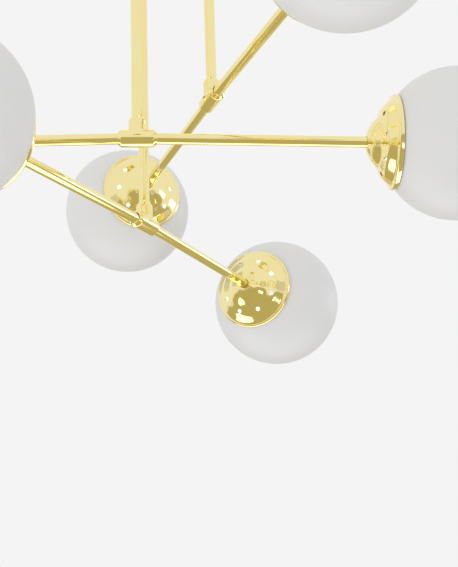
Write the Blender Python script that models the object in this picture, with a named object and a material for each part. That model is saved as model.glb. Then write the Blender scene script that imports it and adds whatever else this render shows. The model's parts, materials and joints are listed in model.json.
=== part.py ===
"""Six-light chandelier with three stepped cross bars and opal glass globes.

Three rods hang from one ceiling canopy, each a little longer than the last. A tee hub
swivels on the lower end of each rod and carries two arms in line. Each arm ends in a
vented cup, a lampholder with its bulb, and a globe that pulls off along the arm.
The origin is on the ceiling face of the bracket, +Z is up, and the lamp hangs below it.
Turned pieces are modelled about +Z and then laid along their arm, rod or screw.
"""

import math

import bmesh
import bpy
from mathutils import Matrix, Vector

# Clearances
GAP = 0.0003
SEAT_GAP = 0.0009

# Facets of the turned pieces
FINE = 20
GLOBE_FACETS = 16
PLAIN = 10

# Canopy and ceiling bracket
CANOPY_RADIUS = 0.065
CANOPY_DEPTH = 0.026
CANOPY_CORNER = 0.005
CANOPY_WALL = 0.0012
BRACKET_WIDTH = 0.022
BRACKET_WALL = 0.0025
EAR_DROP = 0.014
SLOT_OFFSET = 0.028
SLOT_LENGTH = 0.014
SLOT_WIDTH = 0.005
TERMINAL_SIZE = (0.030, 0.016, 0.013)
TERMINAL_NOTCH = 0.003
EAR_CLEARANCE = 0.0023
SIDE_SCREW_LENGTH = 0.0075
SIDE_SCREW_HEAD = (0.004, 0.0035)
SIDE_SCREW_EDGE = (0.003, 0.0043)
SIDE_SCREW_CUT = (-0.012, 0.004)

# Tubes
TUBE_RADIUS = 0.005
TUBE_BORE = 0.0025
ROD_CIRCLE = 0.045
ROD_RISE = 0.009
STOP_RADIUS = 0.0080
STOP_HEIGHT = 0.008
STOP_CHAMFER = 0.0015
NUT_RADIUS = 0.0082
NUT_HEIGHT = 0.004

# Hubs
SLEEVE_RADIUS = 0.008
SLEEVE_LENGTH = 0.035
COLLAR_RADIUS = 0.0078
COLLAR_HEIGHT = 0.020
HUB_CHAMFER = (0.002, 0.003)
HUB_SEAT = 0.007
SOCKET_SEAT = 0.0045
WIRE_WAY = 0.0024
SCREW_RADIUS = 0.002
SCREW_RECESS = 0.0003
COLLAR_SCREW_HEIGHT = 0.0135
COLLAR_SCREW_CUT = (-0.002, 0.006)
ARM_WAY_RADIUS = 0.0022

# Arms and cups
ARM_REACH = 0.207
ARM_DROOP = math.radians(1.2)
ARM_THREAD = 0.010
CUP_WALL = 0.001
NECK_RADIUS = 0.0080
DOME_SHOULDER = (0.0032, 0.0155)
DOME_RADIUS = 0.0235
DOME_DEPTH = 0.0102
DISH_STEP = (0.0140, 0.0324)
DISH_RADIUS = 0.0398
DISH_DEPTH = 0.0218
RIM_RADIUS = 0.0435
RIM_FLARE = 0.0007
RIM_WIDTH = 0.0040
VENTS = 8
VENT_RADIUS = 0.0025
VENT_CIRCLE = 0.0295
VENT_FACETS = 6
VENT_CUT = (-0.004, 0.005)

# Spring crowns in the cups
CLIP_LEAVES = 4
CLIP_WIDTH = 0.005
CLIP_THICKNESS = 0.0006
CLIP_RING_THICKNESS = 0.00066
CLIP_RING_WIDTH = 0.002
CLIP_RING_INSET = 0.0010
CLIP_FOOT = 0.0006
CLIP_LIFT = 0.0001
CLIP_HEEL_INSET = 0.0022
CLIP_PRESS_INSET = 0.0017
CLIP_PRESS_DEPTH = 0.0025
CLIP_TIP_DEPTH = 0.0070
CLIP_TIP_INSET = 0.0020

# Lampholders, bulbs and globes
HOLDER_RADIUS = 0.014
HOLDER_CAP_RADIUS = 0.009
HOLDER_CAP = 0.0065
HOLDER_BODY = 0.036
HOLDER_SHOULDER = 0.002
SOCKET_CLEARANCE = 0.0006
SOCKET_SPARE = 0.002
BULB_CAP_RADIUS = 0.0068
BULB_CAP_LENGTH = 0.021
BULB_CAP_TAPER = 0.003
BULB_NECK_LENGTH = 0.010
BULB_RADIUS = 0.0225
BULB_NECK_RADIUS = 0.0088
GLOBE_RADIUS = 0.070
GLOBE_WALL = 0.0022
GLOBE_NECK_INSET = 0.0023

# Each bar: rod bearing about the canopy, hub depth below the ceiling, bar bearing
BARS = {
    "a": (math.radians(-120), 0.416, math.radians(4)),
    "b": (math.radians(120), 0.468, math.radians(63)),
    "c": (math.radians(0), 0.360, math.radians(111)),
}
# Each arm: its bar, its half turn from the bar's bearing, the turn of its cup
ARMS = {
    "a1": ("a", 0.0, math.radians(8)),
    "a2": ("a", math.pi, math.radians(0)),
    "b1": ("b", 0.0, math.radians(-20)),
    "b2": ("b", math.pi, math.radians(10)),
    "c1": ("c", 0.0, math.radians(-4)),
    "c2": ("c", math.pi, math.radians(15)),
}

MATERIALS = {
    "polished_brass": ((0.86, 0.72, 0.34), 0.12, 1.0),
    "opal_glass": ((0.90, 0.90, 0.89), 0.35, 0.0),
    "bulb_glass": ((0.93, 0.93, 0.90), 0.25, 0.0),
    "zinc_steel": ((0.62, 0.62, 0.60), 0.35, 1.0),
    "spring_steel": ((0.55, 0.55, 0.55), 0.30, 1.0),
    "white_ceramic": ((0.86, 0.85, 0.82), 0.30, 0.0),
    "terminal_plastic": ((0.80, 0.80, 0.78), 0.45, 0.0),
}


def clear_scene():
    for obj in list(bpy.data.objects):
        bpy.data.objects.remove(obj)


def material(name):
    """The named finish, made once and shared."""
    if name in bpy.data.materials:
        return bpy.data.materials[name]
    colour, roughness, metallic = MATERIALS[name]
    made = bpy.data.materials.new(name)
    made.use_nodes = True
    shader = made.node_tree.nodes["Principled BSDF"]
    shader.inputs["Base Color"].default_value = (*colour, 1.0)
    shader.inputs["Roughness"].default_value = roughness
    shader.inputs["Metallic"].default_value = metallic
    return made


def bore(radius, facets=PLAIN):
    """Corner radius of a faceted hole whose flats clear a shaft of this radius."""
    return (radius + GAP) / math.cos(math.pi / facets)


def finish_mesh(name, bm):
    """Closes the bmesh into a smooth-shaded mesh whose faces point out."""
    bmesh.ops.recalc_face_normals(bm, faces=bm.faces)
    mesh = bpy.data.meshes.new(name)
    bm.to_mesh(mesh)
    bm.free()
    mesh.shade_smooth()
    mesh.set_sharp_from_angle(angle=math.radians(35))
    return mesh


def add_turned(bm, outline, facets=PLAIN, place=Matrix.Identity(4)):
    """Turns an outline of (height, radius) points about +Z. An outline that starts and
    ends on the axis closes there; any other one is a closed loop, which makes a ring."""
    rings = []
    for height, radius in outline:
        corners = facets if radius > 0 else 1
        turns = [2 * math.pi * k / facets for k in range(corners)]
        points = [Vector((radius * math.cos(t), radius * math.sin(t), height)) for t in turns]
        rings.append([bm.verts.new(place @ point) for point in points])
    closed = outline[0][1] > 0
    following = rings[1:] + rings[:1] if closed else rings[1:]
    for ring, after in zip(rings, following):
        for k in range(facets):
            corners = [ring[k % len(ring)], ring[(k + 1) % facets % len(ring)]]
            corners += [after[(k + 1) % facets % len(after)], after[k % len(after)]]
            bm.faces.new(list(dict.fromkeys(corners)))


def turned(name, outline, facets=PLAIN):
    bm = bmesh.new()
    add_turned(bm, outline, facets)
    return finish_mesh(name, bm)


def cylinder(low, high, radius):
    """Outline of a solid cylinder."""
    return [(low, 0.0), (low, radius), (high, radius), (high, 0.0)]


def tube(low, high, radius, inner):
    """Outline of a tube or ring."""
    return [(low, inner), (low, radius), (high, radius), (high, inner)]


def shell(outer, wall):
    """Closes an open outline with a second one, a wall's thickness inside it."""
    inner = []
    for k, point in enumerate(outer):
        before = outer[max(k - 1, 0)]
        after = outer[min(k + 1, len(outer) - 1)]
        sides = []
        for start, end in ((before, point), (point, after)):
            run = Vector(end) - Vector(start)
            if run.length > 0:
                sides.append(Vector((run.y, -run.x)).normalized())
        middle = sum(sides, Vector((0, 0))).normalized()
        reach = wall / middle.dot(sides[0])
        inner.append(tuple(Vector(point) + middle * reach))
    return list(outer) + inner[::-1]


def add_box(bm, low, high, place=Matrix.Identity(4)):
    centre = (Vector(low) + Vector(high)) / 2
    size = Vector(high) - Vector(low)
    matrix = place @ Matrix.Translation(centre) @ Matrix.Diagonal((*size, 1))
    bmesh.ops.create_cube(bm, size=1.0, matrix=matrix)


def helper(name, mesh):
    """A cutter or an added body for a Boolean, which isn't part of the lamp."""
    obj = bpy.data.objects.new(name, mesh)
    bpy.context.scene.collection.objects.link(obj)
    obj.hide_render = True
    obj.display_type = "WIRE"
    return obj


def combined(name, base, steps):
    """Mesh of the base after Boolean steps, each an operation and a mesh."""
    body = helper(name + "_body", base)
    for number, (operation, mesh) in enumerate(steps):
        modifier = body.modifiers.new(f"step_{number}", "BOOLEAN")
        modifier.operation = operation
        modifier.solver = "EXACT"
        modifier.object = helper(f"{name}_step_{number}", mesh)
    bpy.context.view_layer.update()
    graph = bpy.context.evaluated_depsgraph_get()
    made = bpy.data.meshes.new_from_object(body.evaluated_get(graph))
    made.name = name
    made.shade_smooth()
    made.set_sharp_from_angle(angle=math.radians(35))
    return made


def piece(name, mesh, finish, place=Matrix.Identity(4), parent=None):
    """One named part of the lamp, placed in the world and parented where it is held."""
    obj = bpy.data.objects.new(name, mesh)
    bpy.context.scene.collection.objects.link(obj)
    if not mesh.materials:
        mesh.materials.append(material(finish))
    obj.parent = parent
    if parent:
        obj.matrix_parent_inverse = parent.matrix_world.inverted()
    obj.matrix_world = place
    return obj


def pivot(name, place):
    empty = bpy.data.objects.new(name, None)
    bpy.context.scene.collection.objects.link(empty)
    empty.matrix_world = place
    bpy.context.view_layer.update()
    return empty


def rod_spot(bar):
    """Where the bar's rod stands, at ceiling height."""
    bearing = BARS[bar][0]
    return Vector((ROD_CIRCLE * math.cos(bearing), ROD_CIRCLE * math.sin(bearing), 0))


def hub_place(bar):
    """Frame of a hub: +X along the bar, +Z up the rod."""
    spot = rod_spot(bar) - Vector((0, 0, BARS[bar][1]))
    return Matrix.Translation(spot) @ Matrix.Rotation(BARS[bar][2], 4, "Z")


def along_arm(half_turn):
    """Turns +Z to point out along an arm, from the hub's frame."""
    lay = Matrix.Rotation(math.pi / 2 + ARM_DROOP, 4, "Y")
    return Matrix.Rotation(half_turn, 4, "Z") @ lay


def floor_level():
    """Upper face of the canopy's floor."""
    return -CANOPY_DEPTH + CANOPY_WALL


def canopy_mesh():
    corner = CANOPY_RADIUS - CANOPY_CORNER
    skirt_low = -CANOPY_DEPTH + CANOPY_CORNER
    outer = [(-CANOPY_DEPTH, corner), (skirt_low, CANOPY_RADIUS), (0.0, CANOPY_RADIUS)]
    ring = shell([(-CANOPY_DEPTH, 0.0)] + outer, CANOPY_WALL)
    ring[-1] = (floor_level(), 0.0)
    holes = bmesh.new()
    for bar in BARS:
        spot = Matrix.Translation(rod_spot(bar))
        span = cylinder(-2 * CANOPY_DEPTH, -CANOPY_WALL, bore(TUBE_RADIUS))
        add_turned(holes, span, PLAIN, spot)
    for place in canopy_screw_places():
        add_turned(holes, cylinder(*SIDE_SCREW_CUT, bore(SCREW_RADIUS)), PLAIN, place)
    base = turned("canopy", ring, FINE)
    return combined("canopy", base, [("DIFFERENCE", finish_mesh("canopy_holes", holes))])


def screw_level():
    return -BRACKET_WALL - EAR_DROP / 2


def canopy_screw_places():
    """Frames on the skirt's outer face, +Z pointing out along each side screw."""
    places = []
    for side in (0.0, math.pi):
        lay = Matrix.Rotation(side, 4, "Z") @ Matrix.Rotation(math.pi / 2, 4, "Y")
        face = Matrix.Rotation(side, 4, "Z") @ Vector((CANOPY_RADIUS, 0, screw_level()))
        places.append(Matrix.Translation(face) @ lay)
    return places


def bracket_mesh():
    """Flat bar with two ceiling slots and an ear turned down at each end."""
    half = CANOPY_RADIUS - CANOPY_WALL - EAR_CLEARANCE
    side = BRACKET_WIDTH / 2
    bm = bmesh.new()
    ear_low = -BRACKET_WALL - EAR_DROP
    inner = half - BRACKET_WALL
    outline = [(-half, 0), (half, 0), (half, ear_low), (inner, ear_low)]
    outline += [(inner, -BRACKET_WALL), (-inner, -BRACKET_WALL), (-inner, ear_low), (-half, ear_low)]
    front = bm.faces.new([bm.verts.new((x, -side, z)) for x, z in outline])
    swept = bmesh.ops.extrude_face_region(bm, geom=[front])
    moved = [v for v in swept["geom"] if isinstance(v, bmesh.types.BMVert)]
    bmesh.ops.translate(bm, verts=moved, vec=(0, BRACKET_WIDTH, 0))
    bmesh.ops.triangulate(bm, faces=bm.faces)
    cuts = bmesh.new()
    for sign in (-1, 1):
        middle = sign * SLOT_OFFSET
        low = (middle - SLOT_LENGTH / 2, -SLOT_WIDTH / 2, -2 * BRACKET_WALL)
        high = (middle + SLOT_LENGTH / 2, SLOT_WIDTH / 2, BRACKET_WALL)
        add_box(cuts, low, high)
    for place in canopy_screw_places():
        add_turned(cuts, cylinder(*SIDE_SCREW_CUT, bore(SCREW_RADIUS)), PLAIN, place)
    steps = [("DIFFERENCE", finish_mesh("bracket_cuts", cuts))]
    return combined("ceiling_bracket", finish_mesh("bracket", bm), steps)


def terminal_mesh():
    """Terminal block with a notch at each of its wire entries."""
    length, width, height = TERMINAL_SIZE
    top = -BRACKET_WALL - GAP
    bm = bmesh.new()
    add_box(bm, (-length / 2, -width / 2, top - height), (length / 2, width / 2, top))
    cuts = bmesh.new()
    for step in (-1, 0, 1):
        middle = step * length / 3
        for sign in (-1, 1):
            edge = sign * width / 2
            low = (middle - TERMINAL_NOTCH / 2, edge - TERMINAL_NOTCH, top - height / 2)
            high = (middle + TERMINAL_NOTCH / 2, edge + TERMINAL_NOTCH, top - height / 4)
            add_box(cuts, low, high)
    steps = [("DIFFERENCE", finish_mesh("terminal_cuts", cuts))]
    return combined("terminal_block", finish_mesh("terminal", bm), steps)


def side_screw_mesh():
    """One of the two screws that hold the canopy to the bracket's ears."""
    head_radius, head_height = SIDE_SCREW_HEAD
    edge_radius, top = SIDE_SCREW_EDGE
    outline = [
        (-SIDE_SCREW_LENGTH, 0.0),
        (-SIDE_SCREW_LENGTH, SCREW_RADIUS),
        (GAP, SCREW_RADIUS),
        (GAP, head_radius),
        (head_height, head_radius),
        (top, edge_radius),
        (top, 0.0),
    ]
    return turned("canopy_screw", outline)


def make_canopy():
    piece("canopy", canopy_mesh(), "polished_brass")
    piece("ceiling_bracket", bracket_mesh(), "zinc_steel")
    piece("terminal_block", terminal_mesh(), "terminal_plastic")
    screw = side_screw_mesh()
    for number, place in enumerate(canopy_screw_places(), 1):
        piece(f"canopy_screw_{number}", screw, "polished_brass", place)


def hex_nut(name, low):
    """Lock nut on a tube's threaded end."""
    outline = tube(low, low + NUT_HEIGHT, NUT_RADIUS, bore(TUBE_RADIUS, 6))
    return turned(name, outline, 6)


def hub_screw_place():
    """Frame at the rod's surface, +Z out along the grub screw in the hub's collar."""
    at_rod = Matrix.Translation((0, TUBE_RADIUS + GAP, COLLAR_SCREW_HEIGHT))
    return at_rod @ Matrix.Rotation(-math.pi / 2, 4, "X")


def hub_mesh():
    """Tee of an upright collar and a cross sleeve, with a socket for each tube."""
    cut_in, cut_along = HUB_CHAMFER
    half = SLEEVE_LENGTH / 2
    end = SLEEVE_RADIUS - cut_in
    sleeve = [(-half, 0.0), (-half, end), (cut_along - half, SLEEVE_RADIUS)]
    sleeve += [(half - cut_along, SLEEVE_RADIUS), (half, end), (half, 0.0)]
    collar = [(-WIRE_WAY, 0.0), (-WIRE_WAY, COLLAR_RADIUS)]
    collar += [(COLLAR_HEIGHT - cut_along, COLLAR_RADIUS)]
    collar += [(COLLAR_HEIGHT, COLLAR_RADIUS - cut_in), (COLLAR_HEIGHT, 0.0)]
    across = bmesh.new()
    add_turned(across, sleeve, FINE // 2, Matrix.Rotation(math.pi / 2, 4, "Y"))
    sockets = bmesh.new()
    add_turned(sockets, cylinder(HUB_SEAT, 2 * COLLAR_HEIGHT, bore(TUBE_RADIUS)))
    for half_turn in (0.0, math.pi):
        span = cylinder(SOCKET_SEAT, SLEEVE_LENGTH, bore(TUBE_RADIUS))
        add_turned(sockets, span, PLAIN, along_arm(half_turn))
    rod_way = turned("rod_way", cylinder(0.0, HUB_SEAT + WIRE_WAY, WIRE_WAY), 8)
    reach = SOCKET_SEAT + WIRE_WAY / 2
    arm_way = bmesh.new()
    cross = Matrix.Rotation(math.pi / 2, 4, "Y")
    add_turned(arm_way, cylinder(-reach, reach, ARM_WAY_RADIUS), 8, cross)
    screw_hole = bmesh.new()
    span = cylinder(*COLLAR_SCREW_CUT, bore(SCREW_RADIUS, 8))
    add_turned(screw_hole, span, 8, hub_screw_place())
    steps = [
        ("UNION", turned("collar", collar, FINE // 2)),
        ("DIFFERENCE", finish_mesh("sockets", sockets)),
        ("DIFFERENCE", rod_way),
        ("DIFFERENCE", finish_mesh("arm_way", arm_way)),
        ("DIFFERENCE", finish_mesh("screw_hole", screw_hole)),
    ]
    return combined("hub", finish_mesh("sleeve", across), steps)


def hub_screw_mesh():
    """Grub screw that runs in the rod's groove and keeps the hub on it."""
    length = COLLAR_RADIUS - TUBE_RADIUS - GAP - SCREW_RECESS
    return turned("hub_screw", cylinder(0.0, length, SCREW_RADIUS), 8)


def rod_mesh(name, depth):
    """Rod with the stop ring that bears on the canopy's underside."""
    stop_top = -CANOPY_DEPTH - GAP
    stop_low = stop_top - STOP_HEIGHT
    low = HUB_SEAT + GAP - depth
    top = floor_level() + ROD_RISE
    outline = [
        (low, TUBE_BORE),
        (low, TUBE_RADIUS),
        (stop_low, TUBE_RADIUS),
        (stop_low, STOP_RADIUS - STOP_CHAMFER),
        (stop_low + STOP_CHAMFER, STOP_RADIUS),
        (stop_top, STOP_RADIUS),
        (stop_top, TUBE_RADIUS),
        (top, TUBE_RADIUS),
        (top, TUBE_BORE),
    ]
    return turned(name, outline)


def make_rods_and_hubs():
    hub = hub_mesh()
    screw = hub_screw_mesh()
    nut = hex_nut("rod_nut", floor_level() + GAP)
    pivots = {}
    for bar, (_, depth, _) in BARS.items():
        upright = Matrix.Translation(rod_spot(bar))
        piece(f"rod_{bar}", rod_mesh(f"rod_{bar}", depth), "polished_brass", upright)
        piece(f"rod_nut_{bar}", nut, "zinc_steel", upright)
        place = hub_place(bar)
        pivots[bar] = pivot(f"swivel_{bar}", place)
        piece(f"hub_{bar}", hub, "polished_brass", place, pivots[bar])
        screw_place = place @ hub_screw_place()
        piece(f"hub_screw_{bar}", screw, "zinc_steel", screw_place, pivots[bar])
    return pivots


def cup_profile():
    """Outer profile of the cup from its neck to its rim: a small dome that steps out
    into a wider dish with a flat rolled rim. Heights run from the neck's face."""
    return [
        (0.0, NECK_RADIUS),
        DOME_SHOULDER,
        (DOME_DEPTH, DOME_RADIUS),
        DISH_STEP,
        (DISH_DEPTH, DISH_RADIUS),
        (DISH_DEPTH + RIM_FLARE, RIM_RADIUS),
        (cup_depth(), RIM_RADIUS),
    ]


def cup_depth():
    return DISH_DEPTH + RIM_FLARE + RIM_WIDTH


def dish_slope():
    """Gain in radius for each unit of depth along the dish."""
    return (DISH_RADIUS - DISH_STEP[1]) / (DISH_DEPTH - DISH_STEP[0])


def step_depth(radius):
    """Depth of the step's outer face at a radius between dome and dish."""
    share = (radius - DOME_RADIUS) / (DISH_STEP[1] - DOME_RADIUS)
    return DOME_DEPTH + share * (DISH_STEP[0] - DOME_DEPTH)


def cup_mesh():
    outer = [(0.0, bore(TUBE_RADIUS, FINE))] + cup_profile()
    holes = bmesh.new()
    depth = step_depth(VENT_CIRCLE)
    for k in range(VENTS):
        turn = Matrix.Rotation(math.pi + 2 * math.pi * k / VENTS, 4, "Z")
        place = turn @ Matrix.Translation((VENT_CIRCLE, 0, depth))
        add_turned(holes, cylinder(*VENT_CUT, VENT_RADIUS), VENT_FACETS, place)
    base = turned("cup", shell(outer, CUP_WALL), FINE)
    return combined("cup", base, [("DIFFERENCE", finish_mesh("vents", holes))])


def neck_radius():
    """Outer radius of the globe's neck, which goes up inside the dish."""
    return DISH_RADIUS - CUP_WALL - GLOBE_NECK_INSET


def neck_depth():
    """Depth at which the neck's lip stops short of the dish's inner face."""
    slope = dish_slope()
    inner_at_lip = neck_radius() + SEAT_GAP + CUP_WALL * math.hypot(1, slope)
    return DISH_STEP[0] + (inner_at_lip - DISH_STEP[1]) / slope


def globe_centre():
    """Depth of the globe's centre: its ball closes the rim with a narrow gap."""
    seat = RIM_RADIUS - CUP_WALL - SEAT_GAP - GAP
    return cup_depth() + math.sqrt(GLOBE_RADIUS**2 - seat**2)


def arc(radius, mouth, steps):
    """Points of a ball from its far pole round to a mouth of this radius."""
    last = math.pi - math.asin(mouth / radius)
    turns = [last * k / steps for k in range(steps + 1)]
    centre = globe_centre()
    return [(centre + radius * math.cos(t), radius * math.sin(t)) for t in turns]


def globe_mesh():
    outside = neck_radius()
    inside = outside - GLOBE_WALL
    lip = neck_depth()
    outline = arc(GLOBE_RADIUS, outside, 7) + [(lip, outside), (lip, inside)]
    outline += arc(GLOBE_RADIUS - GLOBE_WALL, inside, 6)[::-1]
    return turned("globe", outline, GLOBE_FACETS)


def clip_mesh():
    """Spring crown: a ring on the step's inner face, and leaves that run out between
    the vents and press inside the globe's neck."""
    lift = CUP_WALL + CLIP_LIFT + GAP + CLIP_THICKNESS / 2
    edge = DOME_RADIUS + CLIP_RING_INSET
    foot = edge + CLIP_FOOT
    heel = DISH_STEP[1] - CLIP_HEEL_INSET
    press = neck_radius() - GLOBE_WALL - CLIP_PRESS_INSET
    path = [
        (step_depth(foot) + lift, foot),
        (step_depth(heel) + lift, heel),
        (neck_depth() + CLIP_PRESS_DEPTH, press),
        (neck_depth() + CLIP_TIP_DEPTH, press - CLIP_TIP_INSET),
    ]
    strip = centred_strip(path, CLIP_THICKNESS)
    leaves = bmesh.new()
    for k in range(CLIP_LEAVES):
        turn = Matrix.Rotation(2 * math.pi * (k / CLIP_LEAVES + 0.5 / VENTS), 4, "Z")
        add_strip(leaves, strip, CLIP_WIDTH, turn)
    rim = edge + CLIP_RING_WIDTH
    across = [(step_depth(edge) + lift, edge), (step_depth(rim) + lift, rim)]
    ring = turned("clip_ring", centred_strip(across, CLIP_RING_THICKNESS), GLOBE_FACETS)
    return combined("globe_clip", ring, [("UNION", finish_mesh("clip_leaves", leaves))])


def centred_strip(path, thickness):
    """Outline of a strip of this thickness with the path along its middle."""
    return shell(shell(path, -thickness / 2)[: len(path) - 1 : -1], thickness)


def add_strip(bm, strip, width, place):
    """Extrudes a strip's outline by its width, across the plane that it lies in."""
    sides = []
    for edge in (-width / 2, width / 2):
        sides.append([bm.verts.new(place @ Vector((r, edge, h))) for h, r in strip])
    count = len(strip)
    for i in range(count):
        j = (i + 1) % count
        bm.faces.new([sides[0][i], sides[0][j], sides[1][j], sides[1][i]])
    for side in sides:
        for i in range(count // 2 - 1):
            bm.faces.new([side[i], side[i + 1], side[count - 2 - i], side[count - 1 - i]])


def holder_low():
    """Depth at which the lampholder's cap starts, behind the cup's lock nut."""
    return CUP_WALL + GAP + NUT_HEIGHT + GAP


def holder_mouth():
    return holder_low() + HOLDER_CAP + HOLDER_BODY


def holder_mesh():
    """Cap that screws on the arm's thread, then the ceramic body with its bulb socket."""
    low = holder_low()
    shoulder = low + HOLDER_CAP
    socket = (BULB_CAP_RADIUS + SOCKET_CLEARANCE) / math.cos(math.pi / PLAIN)
    seat = holder_mouth() - BULB_CAP_LENGTH - SOCKET_SPARE
    outline = [
        (low, bore(TUBE_RADIUS)),
        (low, HOLDER_CAP_RADIUS),
        (shoulder, HOLDER_CAP_RADIUS),
        (shoulder + HOLDER_SHOULDER, HOLDER_RADIUS),
        (holder_mouth(), HOLDER_RADIUS),
        (holder_mouth(), socket),
        (seat, socket),
        (seat, WIRE_WAY),
        (ARM_THREAD + GAP, WIRE_WAY),
        (ARM_THREAD + GAP, bore(TUBE_RADIUS)),
    ]
    return turned("lampholder", outline)


def bulb_mesh():
    """Screw cap with its contact, and a round bulb above it."""
    mouth = holder_mouth()
    centre = mouth + BULB_NECK_LENGTH + BULB_RADIUS
    first = math.pi - math.asin(BULB_NECK_RADIUS / BULB_RADIUS)
    turns = [first * (1 - k / 5) for k in range(5)]
    outline = [
        (mouth - BULB_CAP_LENGTH, 0.0),
        (mouth - BULB_CAP_LENGTH + BULB_CAP_TAPER, BULB_CAP_RADIUS),
        (mouth + BULB_CAP_TAPER, BULB_CAP_RADIUS),
    ]
    outline += [(centre + BULB_RADIUS * math.cos(t), BULB_RADIUS * math.sin(t)) for t in turns]
    outline.append((centre + BULB_RADIUS, 0.0))
    return turned("bulb", outline)


def make_arms(pivots):
    low = SOCKET_SEAT + GAP
    arm = turned("arm", tube(low, ARM_REACH + ARM_THREAD, TUBE_RADIUS, TUBE_BORE))
    at_cup = (
        ("cup", cup_mesh(), "polished_brass"),
        ("cup_nut", hex_nut("cup_nut", CUP_WALL + GAP), "zinc_steel"),
        ("globe_clip", clip_mesh(), "spring_steel"),
        ("lampholder", holder_mesh(), "white_ceramic"),
        ("bulb", bulb_mesh(), "bulb_glass"),
        ("globe", globe_mesh(), "opal_glass"),
    )
    for name, (bar, half_turn, cup_turn) in ARMS.items():
        lay = hub_place(bar) @ along_arm(half_turn)
        piece(f"arm_{name}", arm, "polished_brass", lay, pivots[bar])
        reach = lay @ Matrix.Translation((0, 0, ARM_REACH))
        place = reach @ Matrix.Rotation(cup_turn, 4, "Z")
        for kind, mesh, finish in at_cup:
            piece(f"{kind}_{name}", mesh, finish, place, pivots[bar])


def main():
    clear_scene()
    make_canopy()
    pivots = make_rods_and_hubs()
    make_arms(pivots)


main()
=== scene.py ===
"""Fine surfaces, finishes, light and camera of a six-light chandelier.

Three stepped bars swivel under one ceiling canopy. Each bar carries two arms in line,
and each arm ends in a vented cup with a lampholder, a bulb and an opal globe.
Places come from the frame: the hubs from the bar swivels, the arms from the directions
in which the globes pull off. A turned piece is worked out about its own +Z, which runs
out along its arm or screw, or up its rod, and is then laid in place.
An outline is an array of (height, radius) rows, with the outer side traced upward.
"""

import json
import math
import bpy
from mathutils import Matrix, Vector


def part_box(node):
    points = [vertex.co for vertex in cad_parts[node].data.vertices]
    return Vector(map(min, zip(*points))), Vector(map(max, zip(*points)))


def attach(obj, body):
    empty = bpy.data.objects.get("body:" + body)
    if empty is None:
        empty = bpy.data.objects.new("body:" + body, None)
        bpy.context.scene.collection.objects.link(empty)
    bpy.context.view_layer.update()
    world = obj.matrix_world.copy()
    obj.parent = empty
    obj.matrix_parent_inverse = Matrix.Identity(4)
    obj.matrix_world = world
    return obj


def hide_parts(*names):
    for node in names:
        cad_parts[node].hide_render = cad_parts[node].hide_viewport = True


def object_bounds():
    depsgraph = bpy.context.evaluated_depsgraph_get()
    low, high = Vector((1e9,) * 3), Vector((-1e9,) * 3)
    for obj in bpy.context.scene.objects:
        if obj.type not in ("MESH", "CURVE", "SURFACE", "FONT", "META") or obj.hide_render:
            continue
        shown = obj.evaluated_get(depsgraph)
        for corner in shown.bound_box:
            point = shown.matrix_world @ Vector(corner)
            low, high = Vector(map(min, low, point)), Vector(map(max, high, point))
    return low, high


bl_info = {
    "name": "Opal Globe Chandelier",
    "version": (1, 0, 0),
    "blender": (4, 5, 0),
    "location": "View3D > Sidebar > Chandelier",
    "description": "Builds the fine surfaces of a six-light brass and opal glass lamp",
    "category": "Add Mesh",
}

import bpy
import numpy as np
from bpy.props import FloatProperty, FloatVectorProperty, IntProperty, PointerProperty
from bpy.types import Operator, Panel, PropertyGroup
from mathutils import Matrix, Vector

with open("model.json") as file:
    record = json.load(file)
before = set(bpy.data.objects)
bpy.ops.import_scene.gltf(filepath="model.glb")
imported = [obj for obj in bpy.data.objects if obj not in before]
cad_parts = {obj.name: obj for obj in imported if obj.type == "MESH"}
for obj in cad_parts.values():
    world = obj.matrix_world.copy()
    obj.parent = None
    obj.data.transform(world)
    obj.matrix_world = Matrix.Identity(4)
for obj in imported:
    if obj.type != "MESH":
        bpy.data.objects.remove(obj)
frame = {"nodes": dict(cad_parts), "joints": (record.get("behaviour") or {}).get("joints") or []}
CAD_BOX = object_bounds()

UP = Vector((0, 0, 1))
SHARP = math.radians(40)
# Hub: flat ring round each socket, rounding of its edges, overlap of collar and sleeve
HUB_LAND, HUB_EDGE, HUB_SINK = 0.0004, 0.0005, 0.0002
JOINTS = {joint["name"]: joint for joint in frame["joints"]}
BARS = [name[-1] for name in frame["nodes"] if name.startswith("hub_") and len(name) == 5]
ARMS = [name[-2:] for name in frame["nodes"] if name.startswith("arm_")]
# Turn of each cup about its arm, in degrees
CUP_TURNS = {"a1": 8, "a2": 0, "b1": -20, "b2": 10, "c1": -4, "c2": 15}


# Places from the frame


def hub_place(bar):
    """Frame of a hub: +X along the bar, +Z up the rod, origin where the two cross."""
    along = Vector(JOINTS[f"globe_pull_{bar}1"]["axis"])
    along.z = 0
    along.normalize()
    turn = Matrix((along, UP.cross(along), UP)).transposed().to_4x4()
    return Matrix.Translation(JOINTS[f"bar_swivel_{bar}"]["pos_m"]) @ turn


def arm_place(arm):
    """Frame of an arm: origin on the hub's axis, +Z out along the arm, +X down."""
    outward = Vector(JOINTS[f"globe_pull_{arm}"]["axis"]).normalized()
    side = UP.cross(outward).normalized()
    turn = Matrix((side.cross(outward), side, outward)).transposed().to_4x4()
    return Matrix.Translation(JOINTS[f"bar_swivel_{arm[0]}"]["pos_m"]) @ turn


def cup_place(arm):
    """Frame of a cup and what it holds: origin on the face of the cup's neck."""
    place = arm_place(arm)
    reach = span(f"cup_{arm}", place)[0]
    turn = Matrix.Rotation(math.radians(CUP_TURNS[arm]), 4, "Z")
    return place @ Matrix.Translation((0, 0, reach)) @ turn


def rod_place(bar):
    """Frame of a rod: origin at ceiling height, +Z up."""
    spot = Vector(JOINTS[f"bar_swivel_{bar}"]["pos_m"])
    return Matrix.Translation((spot.x, spot.y, 0))


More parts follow.
